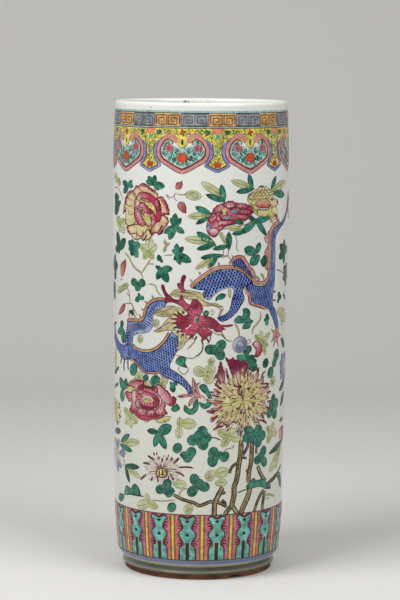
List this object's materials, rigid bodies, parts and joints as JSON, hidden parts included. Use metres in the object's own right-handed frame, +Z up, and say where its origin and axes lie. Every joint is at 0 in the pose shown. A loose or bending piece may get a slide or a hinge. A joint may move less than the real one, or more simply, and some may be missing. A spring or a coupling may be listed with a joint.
{
  "type": "cylindrical vase",
  "caption": "Tall cylindrical porcelain vase or umbrella stand, open at the top, with a moulded collar, unglazed foot ring and overglaze enamel decoration.",
  "frame": {"origin": "on the vase's axis, in the plane of the foot ring's underside", "axes": "+Z up along the vase's axis; -Y is the side that the picture shows; +X is to the right in it"},
  "size_m": [0.2288, 0.2288, 0.61],
  "materials": {
    "glaze": "clear glossy glaze over white porcelain",
    "biscuit": "unglazed, fired brown, worn and stained",
    "slip": "slip under glaze",
    "enamel_rose": "glossy overglaze enamel, shaded to pale",
    "enamel_pink": "glossy overglaze enamel",
    "enamel_green": "glossy translucent overglaze enamel",
    "enamel_lime": "glossy translucent overglaze enamel",
    "enamel_blue": "glossy overglaze enamel",
    "enamel_turquoise": "glossy opaque overglaze enamel",
    "enamel_yellow": "glossy opaque overglaze enamel",
    "enamel_iron_red": "thin overglaze enamel",
    "outline_black": "thin dry overglaze line",
    "gilding": "worn overglaze gilding"
  },
  "bodies": {
    "root": {"foot_ring": "biscuit", "foot_collar": "glaze", "base_floor": "glaze", "lower_wall": "glaze", "lower_lute": "slip", "middle_wall": "glaze", "upper_lute": "slip", "upper_wall": "glaze", "rim_lip": "glaze"}
  },
  "joints": []
}
